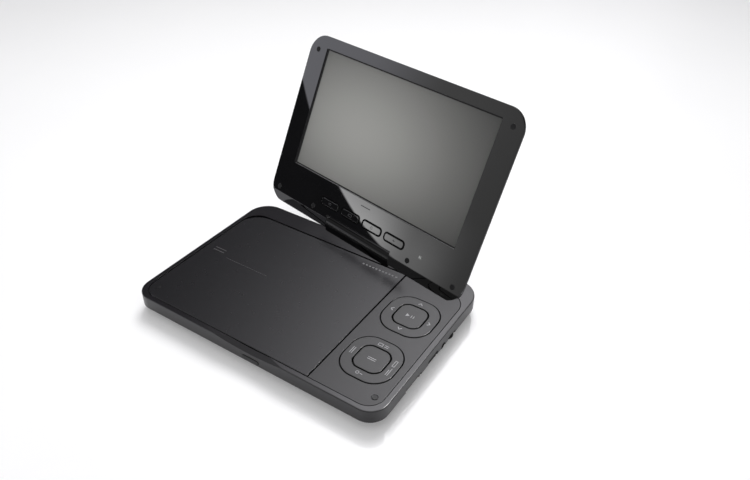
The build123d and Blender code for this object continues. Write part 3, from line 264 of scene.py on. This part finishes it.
def lcd_look():
    """Unlit display: anti-glare film with a painted reflection, a soft pale patch left of its middle, and a
    black border.
    """
    look = Look("display_film")
    here = look.node("ShaderNodeVectorMath", operation="SUBTRACT",
                     inputs={0: look.coords, 1: SCREEN.translation})

    def maths(operation, first, second=0.0):
        return look.node("ShaderNodeMath", {0: first, 1: second}, operation=operation).outputs[0]

    squares, borders = [], []
    for axis, half, middle, spread in ((ACROSS, 0.088, -0.33, 1.15), (UP, 0.0497, -0.1, 1.37)):
        dot = look.node("ShaderNodeVectorMath", operation="DOT_PRODUCT",
                        inputs={0: here.outputs[0], 1: axis}).outputs["Value"]
        off = maths("DIVIDE", maths("SUBTRACT", dot, middle * half), spread * half)
        squares.append(maths("MULTIPLY", off, off))
        borders.append(maths("GREATER_THAN", maths("ABSOLUTE", dot), half - 1.1 * MM))
    # Painted reflection: the film's colour is pale in a soft patch left of the middle and dark elsewhere
    painted_sheen = maths("POWER", math.e, maths("MULTIPLY", maths("ADD", *squares), -1.0))
    film = look.mix(painted_sheen, (0.014, 0.0145, 0.015, 1), (0.44, 0.44, 0.415, 1))
    grain = look.noise(0.12, 1.0)
    tone = look.mix(look.ramp(grain, 0, 0.03), film, (0.2, 0.2, 0.2, 1))
    look.set(Base_Color=look.mix(maths("MAXIMUM", *borders), tone, (0.003, 0.003, 0.003, 1)))
    look.set(Roughness=0.4, Specular_IOR_Level=0.2)
    look.set(Normal=look.bump(grain, 0.001))
    return look.material


MAT["board"] = board_look()
MAT["lens"] = lens_look()
MAT["lamp"] = led_look()
MAT["lcd"] = lcd_look()

NODE_LOOKS = {
    "case": ("base_top_cover", "base_bottom_cover"),
    "lid": ("disc_lid", "lid_bumper"),
    "panel": ("control_panel",),
    "keys": ("playback_ring", "menu_ring"),
    "key_caps": ("play_key", "enter_key"),
    "inner": ("playback_ring_web", "menu_ring_web", "turntable", "pickup_sled", "power_switch",
              "open_button"),
    "gloss": ("screen_bezel", "mode_key", "source_key", "picture_key", "mute_key"),
    "screen_back": ("screen_back_cover",),
    "barrel": ("barrel_cover", "swivel_turret"),
    "lcd": ("lcd_panel",),
    "rubber": ("rubber_feet", "key_mat", "loader_dampers", "screw_covers", "hinge_cable"),
    "bumper": ("panel_bumper",),
    "steel": ("case_screws", "loader_screws", "screen_screws", "lid_hinge_pins", "guide_rods",
              "lead_screw", "tilt_shafts", "swivel_post", "swivel_retainer", "clamp_balls",
              "spindle_motor", "sled_motor", "friction_sleeves"),
    "zinc": ("loader_chassis", "backlight_tray"),
    "shell": ("hinge_brackets", "card_slot", "usb_port", "headphone_jack", "av_jack", "dc_jack",
              "volume_dial"),
    "board": ("main_board", "key_board", "screen_board", "screen_key_board"),
    "cell": ("battery_cells",),
    "cone": ("speakers",),
    "lens": ("objective_lens",),
    "lamp": ("power_led",),
}
for look_name, members in NODE_LOOKS.items():
    for member in members:
        mesh = nodes[member].data
        mesh.materials.clear()
        mesh.materials.append(MAT[look_name])

# The screen stands clear of the mirror image in the satin lid, as it does under a soft box
for node_object in nodes.values():
    if node_object["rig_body"] in ("screen", "swivel"):
        node_object.visible_glossy = False

# ------------------------------------------------------------------------ printed marks and painted gap shade
def ring_of(points, closed, width):
    """Left and right edges of a stroke that follows the points, in mm."""
    count = len(points)
    left, right_side = [], []
    for i, point in enumerate(points):
        here = Vector(point)
        before = Vector(points[i - 1]) if closed or i else here
        after = Vector(points[(i + 1) % count]) if closed or i < count - 1 else here
        first = (here - before).normalized() if (here - before).length else None
        second = (after - here).normalized() if (after - here).length else None
        first, second = first or second, second or first
        normal = Vector((-first.y - second.y, first.x + second.x)).normalized()
        reach = width / 2 / max(0.4, normal.dot(Vector((-first.y, first.x))))
        left.append(here + normal * reach)
        right_side.append(here - normal * reach)
    return left, right_side


def stroke(mesh, points, closed=False, width=0.4, lift=0.03):
    """Adds one raised line, for print or for painted shade, to the mesh."""
    rims = ring_of(points, closed, width)
    count = len(points)
    columns = []
    for i in range(count):
        columns.append([mesh.verts.new((rim[i].x, rim[i].y, z)) for rim in rims for z in (0.0, lift)])
    for i in range(count if closed else count - 1):
        a, b = columns[i], columns[(i + 1) % count]
        for low, high in ((0, 1), (1, 3), (3, 2), (2, 0)):
            mesh.faces.new((a[low], b[low], b[high], a[high]))
    if not closed:
        for end in (columns[0], columns[-1]):
            mesh.faces.new((end[0], end[1], end[3], end[2]))


def circle(x, y, radius, steps=24, squash=1.0):
    turns = [2 * math.pi * i / steps for i in range(steps)]
    return [(x + radius * math.cos(t), y + squash * radius * math.sin(t)) for t in turns]


def box_points(x, y, width, height):
    w, h = width / 2, height / 2
    return [(x - w, y - h), (x + w, y - h), (x + w, y + h), (x - w, y + h)]


def print_or_shade_mark(name, body, frame_matrix, strokes, ink="ink"):
    """One printed mark or painted shade line: strokes are (points, closed, width) in mm on the plane of
    frame_matrix.
    """
    build = bmesh.new()
    for points, closed, width in strokes:
        stroke(build, points, closed, width)
    bmesh.ops.recalc_face_normals(build, faces=build.faces)
    bmesh.ops.scale(build, vec=(MM, MM, MM), verts=build.verts)
    mesh = bpy.data.meshes.new(name)
    build.to_mesh(mesh)
    build.free()
    mesh.materials.append(MAT[ink])
    made = bpy.data.objects.new(name, mesh)
    bpy.context.collection.objects.link(made)
    made.matrix_world = frame_matrix
    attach(made, body)
    return made


def on_top(x, y, z, turn=0.0):
    """Frame on a face that looks up, at x, y, z in mm, turned by degrees."""
    return Matrix.Translation(Vector((x, y, z)) * MM) @ Matrix.Rotation(math.radians(turn), 4, "Z")


def on_screen(u, v, lift):
    """Frame on the front of the screen, at u, v from its middle and that far out, in mm."""
    return SCREEN @ Matrix.Translation(Vector((u, v, lift)) * MM)


CHEVRON = [((-1.6, -0.9), (0.0, 0.9), (1.6, -0.9))]
for name, turn in (("up", 0), ("left", 90), ("down", 180), ("right", 270)):
    away = 15.2
    angle = math.radians(turn + 90)
    print_or_shade_mark("chevron_" + name, "playback_ring",
            on_top(KEY_X + away * math.cos(angle), RING_Y["playback"] + away * math.sin(angle),
                   KEY_TOP, turn),
            [(points, False, 0.6) for points in CHEVRON])
PLAY_PAUSE = [
    ([(-2.9, -0.8), (-1.5, 0.0), (-2.9, 0.8)], True, 0.9),
    ([(0.9, -1.3), (0.9, 1.3)], False, 0.55),
    ([(2.7, -1.3), (2.7, 1.3)], False, 0.55),
]
print_or_shade_mark("play_mark", "play_key", on_top(KEY_X, RING_Y["playback"], KEY_TOP), PLAY_PAUSE)


def bars(length, count, pitch, width=0.45):
    """A short list: count bars of that length, one above the other."""
    start = -pitch * (count - 1) / 2
    return [([(-length / 2, start + pitch * i), (length / 2, start + pitch * i)], False, width)
            for i in range(count)]


DISPLAY_ICON = [(box_points(-2.2, 0, 3.4, 2.2), True, 0.4)] + [
    ([(0.8, y), (4.0, y)], False, 0.42) for y in (-0.75, 0.75)]
MENU_RING = (
    ("menu_ring_top", 0.0, 14.9, 0, DISPLAY_ICON),
    ("menu_ring_left", -15.6, 0.2, 90, bars(6.4, 2, 1.4)),
    ("menu_ring_low", -0.2, -15.2, 0, [(circle(-1.3, 0, 1.1), True, 0.4),
                                       ([(0.6, 0.0), (2.6, 0.0)], False, 0.45)]),
    ("menu_ring_right", 15.5, 0.0, 90, [(box_points(4.6, 0, 5.4, 1.7), True, 0.42),
                                        ([(-7.2, -0.65), (0.1, -0.65)], False, 0.45),
                                        ([(-7.2, 0.65), (-2.0, 0.65)], False, 0.45)]),
)
for name, x, y, turn, strokes in MENU_RING:
    print_or_shade_mark(name, "menu_ring", on_top(KEY_X + x, RING_Y["menu"] + y, KEY_TOP, turn), strokes)
print_or_shade_mark("enter_mark", "enter_key", on_top(KEY_X, RING_Y["menu"], KEY_TOP), bars(6.4, 2, 1.5, 0.5))

# Painted shade: a black ring around each key under the display, where the gap's shade falls, and a dim
# printed mark on each key
KEY_PLACES = (("mode_key", -36.0), ("source_key", -12.2), ("picture_key", 12.0), ("mute_key", 36.0))


def rounded_outline(width, height, radius, steps=5):
    points = []
    for quarter, (cx, cy) in enumerate(((1, 1), (-1, 1), (-1, -1), (1, -1))):
        for i in range(steps + 1):
            turn = math.pi / 2 * (quarter + i / steps)
            points.append((cx * (width / 2 - radius) + radius * math.cos(turn),
                           cy * (height / 2 - radius) + radius * math.sin(turn)))
    return points


for name, u in KEY_PLACES:
    print_or_shade_mark(name + "_gap_shade", "screen", on_screen(u, -67.0, 0.0),
            [(rounded_outline(21.0, 7.2, 2.8), True, 0.8)], "gap_shade")
for name, u, strokes in (
    ("mode_key", -36.0, bars(3.2, 2, 1.1, 0.35)),
    ("source_key", -12.2, [(box_points(0, 0, 3.4, 1.8), True, 0.35)]),
    ("picture_key", 12.0, [(circle(0, 0, 1.0, 16), True, 0.35)]),
    ("mute_key", 36.0, [([(-1.2, 0), (1.2, 0)], False, 0.4), ([(0, -1.0), (0, 1.0)], False, 0.4)]),
):
    print_or_shade_mark(name + "_mark", name, on_screen(u, -67.0, 0.3), strokes, "dim_ink")
print_or_shade_mark("frame_mark", "screen", on_screen(0.0, -54.6, 0.0), bars(10.0, 1, 0.0, 0.7), "dim_ink")

# Plain bars and rows of even dashes on the lid, in place of lettering
print_or_shade_mark("lid_disc_mark", "disc_lid", on_top(-90.0, -0.5, BASE_TOP), bars(11.0, 2, 3.0, 0.7), "faint_ink")
print_or_shade_mark("lid_dashes", "disc_lid", on_top(-57.5, -5.5, BASE_TOP),
        [([(-21 + 1.9 * i, 0.0), (-19.7 + 1.9 * i, 0.0)], False, 0.45) for i in range(22)], "faint_ink")
print_or_shade_mark("lid_format_marks", "disc_lid", on_top(30.5, 49.5, BASE_TOP),
        [([(-15.4 + 3.0 * i, 0.0), (-13.8 + 3.0 * i, 0.0)], False, 1.4) for i in range(11)], "pale_ink")

# --------------------------------------------------------------------- camera and lights
camera_data = bpy.data.cameras.new("camera")
camera_data.lens = 33.36
camera_data.sensor_width = 36.0
camera = bpy.data.objects.new("camera", camera_data)
bpy.context.collection.objects.link(camera)
bpy.context.scene.camera = camera
azimuth, elevation, roll = (math.radians(a) for a in (32.02, 36.1, 1.35))
back = Vector((math.sin(azimuth) * math.cos(elevation), -math.cos(azimuth) * math.cos(elevation),
               math.sin(elevation)))
right = Vector((0, 0, 1)).cross(back).normalized()
above = back.cross(right)
turned_right = right * math.cos(roll) + above * math.sin(roll)
turned_up = above * math.cos(roll) - right * math.sin(roll)
camera.matrix_world = (
    Matrix.Translation(Vector((252.8, -313.3, 355.3)) * MM)
    @ Matrix((turned_right, turned_up, back)).transposed().to_4x4()
)
camera_data.clip_start = 0.01
camera_data.clip_end = 50.0
bpy.context.scene.view_settings.view_transform = "Standard"


def studio():
    """White to the camera; to everything else a soft studio with an overhead light."""
    world = bpy.data.worlds.new("studio")
    bpy.context.scene.world = world
    world.use_nodes = True
    tree = world.node_tree
    tree.nodes.clear()

    def node(kind, inputs=None, **settings):
        made = tree.nodes.new(kind)
        for key, value in settings.items():
            setattr(made, key, value)
        for key, value in (inputs or {}).items():
            if isinstance(value, bpy.types.NodeSocket):
                tree.links.new(value, made.inputs[key])
            else:
                made.inputs[key].default_value = value
        return made

    def maths(operation, first, second=0.0):
        return node("ShaderNodeMath", {0: first, 1: second}, operation=operation).outputs[0]

    def curve(value, stops, low, high):
        """Piecewise-linear brightness over an angle in degrees."""
        t = node("ShaderNodeMapRange", {"Value": value, "From Min": low, "From Max": high})
        ramp = node("ShaderNodeValToRGB", {"Fac": t.outputs[0]})
        ramp.color_ramp.interpolation = "EASE"
        while len(ramp.color_ramp.elements) < len(stops):
            ramp.color_ramp.elements.new(0.5)
        for element, (at, level) in zip(ramp.color_ramp.elements, stops):
            element.position = (at - low) / (high - low)
            level = level if isinstance(level, tuple) else (level,) * 3
            element.color = tuple(c / 4.0 for c in level) + (1.0,)
        return ramp.outputs[0]

    direction = node("ShaderNodeTexCoord").outputs["Generated"]
    parts = node("ShaderNodeSeparateXYZ", {0: direction})
    x, y, z = parts.outputs
    degrees = 180.0 / math.pi
    el = maths("MULTIPLY", maths("ARCSINE", z), degrees)
    az = maths("MULTIPLY", maths("ARCTAN2", maths("MULTIPLY", y, -1.0), maths("MULTIPLY", x, -1.0)),
               degrees)
    # A soft box behind and to the right, whose level falls off towards the left
    box = curve(x, ((-1.0, 0.1), (-0.66, 0.12), (-0.58, 0.2), (-0.52, 0.5), (-0.46, 1.0), (-0.42, 1.7),
                    (-0.36, 2.7), (-0.3, 4.0), (-0.2, 4.0), (-0.1, 1.8), (0.1, 0.6), (1.0, 0.4)),
                -1.0, 1.0)
    box_height = curve(z, ((0.0, 0.05), (0.48, 0.1), (0.56, 0.25), (0.62, 0.75), (0.7, 1.25), (1.0, 0.7)),
                       0.0, 1.0)
    box = node("ShaderNodeVectorMath", {0: box, 1: (1.0, 0.99, 1.03)}, operation="MULTIPLY").outputs[0]
    behind = node("ShaderNodeMapRange", {"Value": y, "From Min": -0.05, "From Max": 0.25})
    front = curve(z, ((0.0, 0.4), (0.5, 0.45), (1.0, 0.8)), 0.0, 1.0)
    lit_box = node("ShaderNodeMix", {0: 1.0, 6: box, 7: node(
        "ShaderNodeVectorMath", {0: box_height, 3: 4.0}, operation="SCALE").outputs[0]},
        data_type="RGBA", blend_type="MULTIPLY").outputs[2]
    sky = node("ShaderNodeMix", {0: behind.outputs[0], 6: front, 7: lit_box}, data_type="RGBA").outputs[2]
    # Light bank to the front left, which the glossy screen frame mirrors
    bank = curve(az, ((0, 0.8), (26, (2.1, 2.15, 2.4)), (36, (2.3, 2.3, 2.5)), (44, 1.1), (54, 0.8),
                      (90, 0.7)), 0, 90)
    bank_height = node("ShaderNodeMapRange", {"Value": el, "From Min": 24.0, "From Max": 34.0})
    bank_side = node("ShaderNodeMapRange", {"Value": az, "From Min": 0.0, "From Max": 10.0})
    bank_end = node("ShaderNodeMapRange",
                    {"Value": az, "From Min": 80.0, "From Max": 100.0, "To Min": 1.0, "To Max": 0.0})
    in_bank = maths("MULTIPLY", maths("SUBTRACT", 1.0, bank_height.outputs[0]),
                    maths("MULTIPLY", bank_side.outputs[0], bank_end.outputs[0]))
    # Dark stand in front of the bank, with a curved upper edge
    run = maths("MINIMUM", maths("SUBTRACT", az, 32.8), 17.5)
    edge = maths("ADD", maths("MULTIPLY", maths("MULTIPLY", run, run), 0.028),
                 maths("ADD", 10.9, maths("MULTIPLY", run, -0.98)))
    dark = node("ShaderNodeMapRange", {"Value": maths("SUBTRACT", el, edge), "From Min": -0.08,
                                       "From Max": 0.08})
    # Hot spot low in the bank, right beside the stand
    spot = curve(az, ((0, 0.0), (36, 0.0), (38.5, 4.0), (43, 3.6), (48, 1.0), (53, 0.0)), 0, 90)
    spot_height = node("ShaderNodeMapRange", {"Value": el, "From Min": 9.0, "From Max": 4.0})
    spot_level = maths("MULTIPLY", spot_height.outputs[0], 1.5)
    spot_part = node("ShaderNodeVectorMath", {0: spot, 3: spot_level}, operation="SCALE")
    bank = node("ShaderNodeVectorMath", {0: bank, 1: spot_part.outputs[0]}, operation="ADD").outputs[0]
    mixed = node("ShaderNodeMix", {0: in_bank, 6: sky, 7: bank}, data_type="RGBA").outputs[2]
    stand = node("ShaderNodeMix", {0: dark.outputs[0], 6: (0.02, 0.02, 0.022, 1), 7: mixed},
                 data_type="RGBA").outputs[2]
    use_stand = maths("MULTIPLY", in_bank, node(
        "ShaderNodeMapRange", {"Value": el, "From Min": -0.5, "From Max": 0.0}).outputs[0])
    final = node("ShaderNodeMix", {0: use_stand, 6: mixed, 7: stand}, data_type="RGBA").outputs[2]
    path = node("ShaderNodeLightPath")
    seen = node("ShaderNodeBackground", {"Color": (1, 1, 1, 1), "Strength": 1.0})
    cast = node("ShaderNodeBackground", {"Color": final, "Strength": 4.0})
    both = node("ShaderNodeMixShader", {0: path.outputs["Is Camera Ray"], 1: cast.outputs[0],
                                        2: seen.outputs[0]})
    node("ShaderNodeOutputWorld", {"Surface": both.outputs[0]})


studio()


def area_light(name, position, aim, size, power):
    data = bpy.data.lights.new(name, "AREA")
    data.size = size
    data.energy = power
    lamp = bpy.data.objects.new(name, data)
    bpy.context.collection.objects.link(lamp)
    lamp.location = position
    lamp.rotation_mode = "QUATERNION"
    lamp.rotation_quaternion = (Vector(aim) - Vector(position)).to_track_quat("-Z", "Y")
    lamp.visible_camera = False
    return lamp


key = area_light("key_light", (-0.2, 0.45, 0.9), (0, 0, 0), 0.45, 4.5)
key.visible_glossy = False
# The upright screen doesn't shade the floor in front of the base
blockers = bpy.data.collections.new("shading_pieces")
for node_object in nodes.values():
    if node_object["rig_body"] != "screen":
        blockers.objects.link(node_object)
key.light_linking.blocker_collection = blockers
# Small lamp overhead and to the right: a bright line along the rounded edges of base and keys
edge = area_light("edge_light", (0.6, 0.44, 0.9), (0, 0, 0), 0.25, 18.0)
edge.light_linking.receiver_collection = blockers
edge.visible_diffuse = False

floor_mesh = bpy.data.meshes.new("floor")
half, floor_z = 6.0, -2.0 * MM
floor_mesh.from_pydata(
    [(-half, -half, floor_z), (half, -half, floor_z), (half, half, floor_z), (-half, half, floor_z)],
    [], [(0, 1, 2, 3)])
floor = bpy.data.objects.new("floor", floor_mesh)
bpy.context.collection.objects.link(floor)
floor_look = Look("pale_floor")
pale = floor_look.mix(floor_look.ramp(floor_look.noise(300.0), 0, 1), (0.86, 0.86, 0.86, 1),
                      (0.88, 0.88, 0.88, 1))
# Glossy surfaces are shown a greyer floor than the camera sees: painted shade in their mirror images
mirrored = floor_look.node("ShaderNodeLightPath").outputs["Is Glossy Ray"]
floor_look.set(Base_Color=floor_look.mix(mirrored, pale, (0.7, 0.7, 0.71, 1)))
floor_look.set(Roughness=0.1, Specular_IOR_Level=0.4, Emission_Color=(1, 1, 1, 1), Emission_Strength=0.16)
floor_mesh.materials.append(floor_look.material)
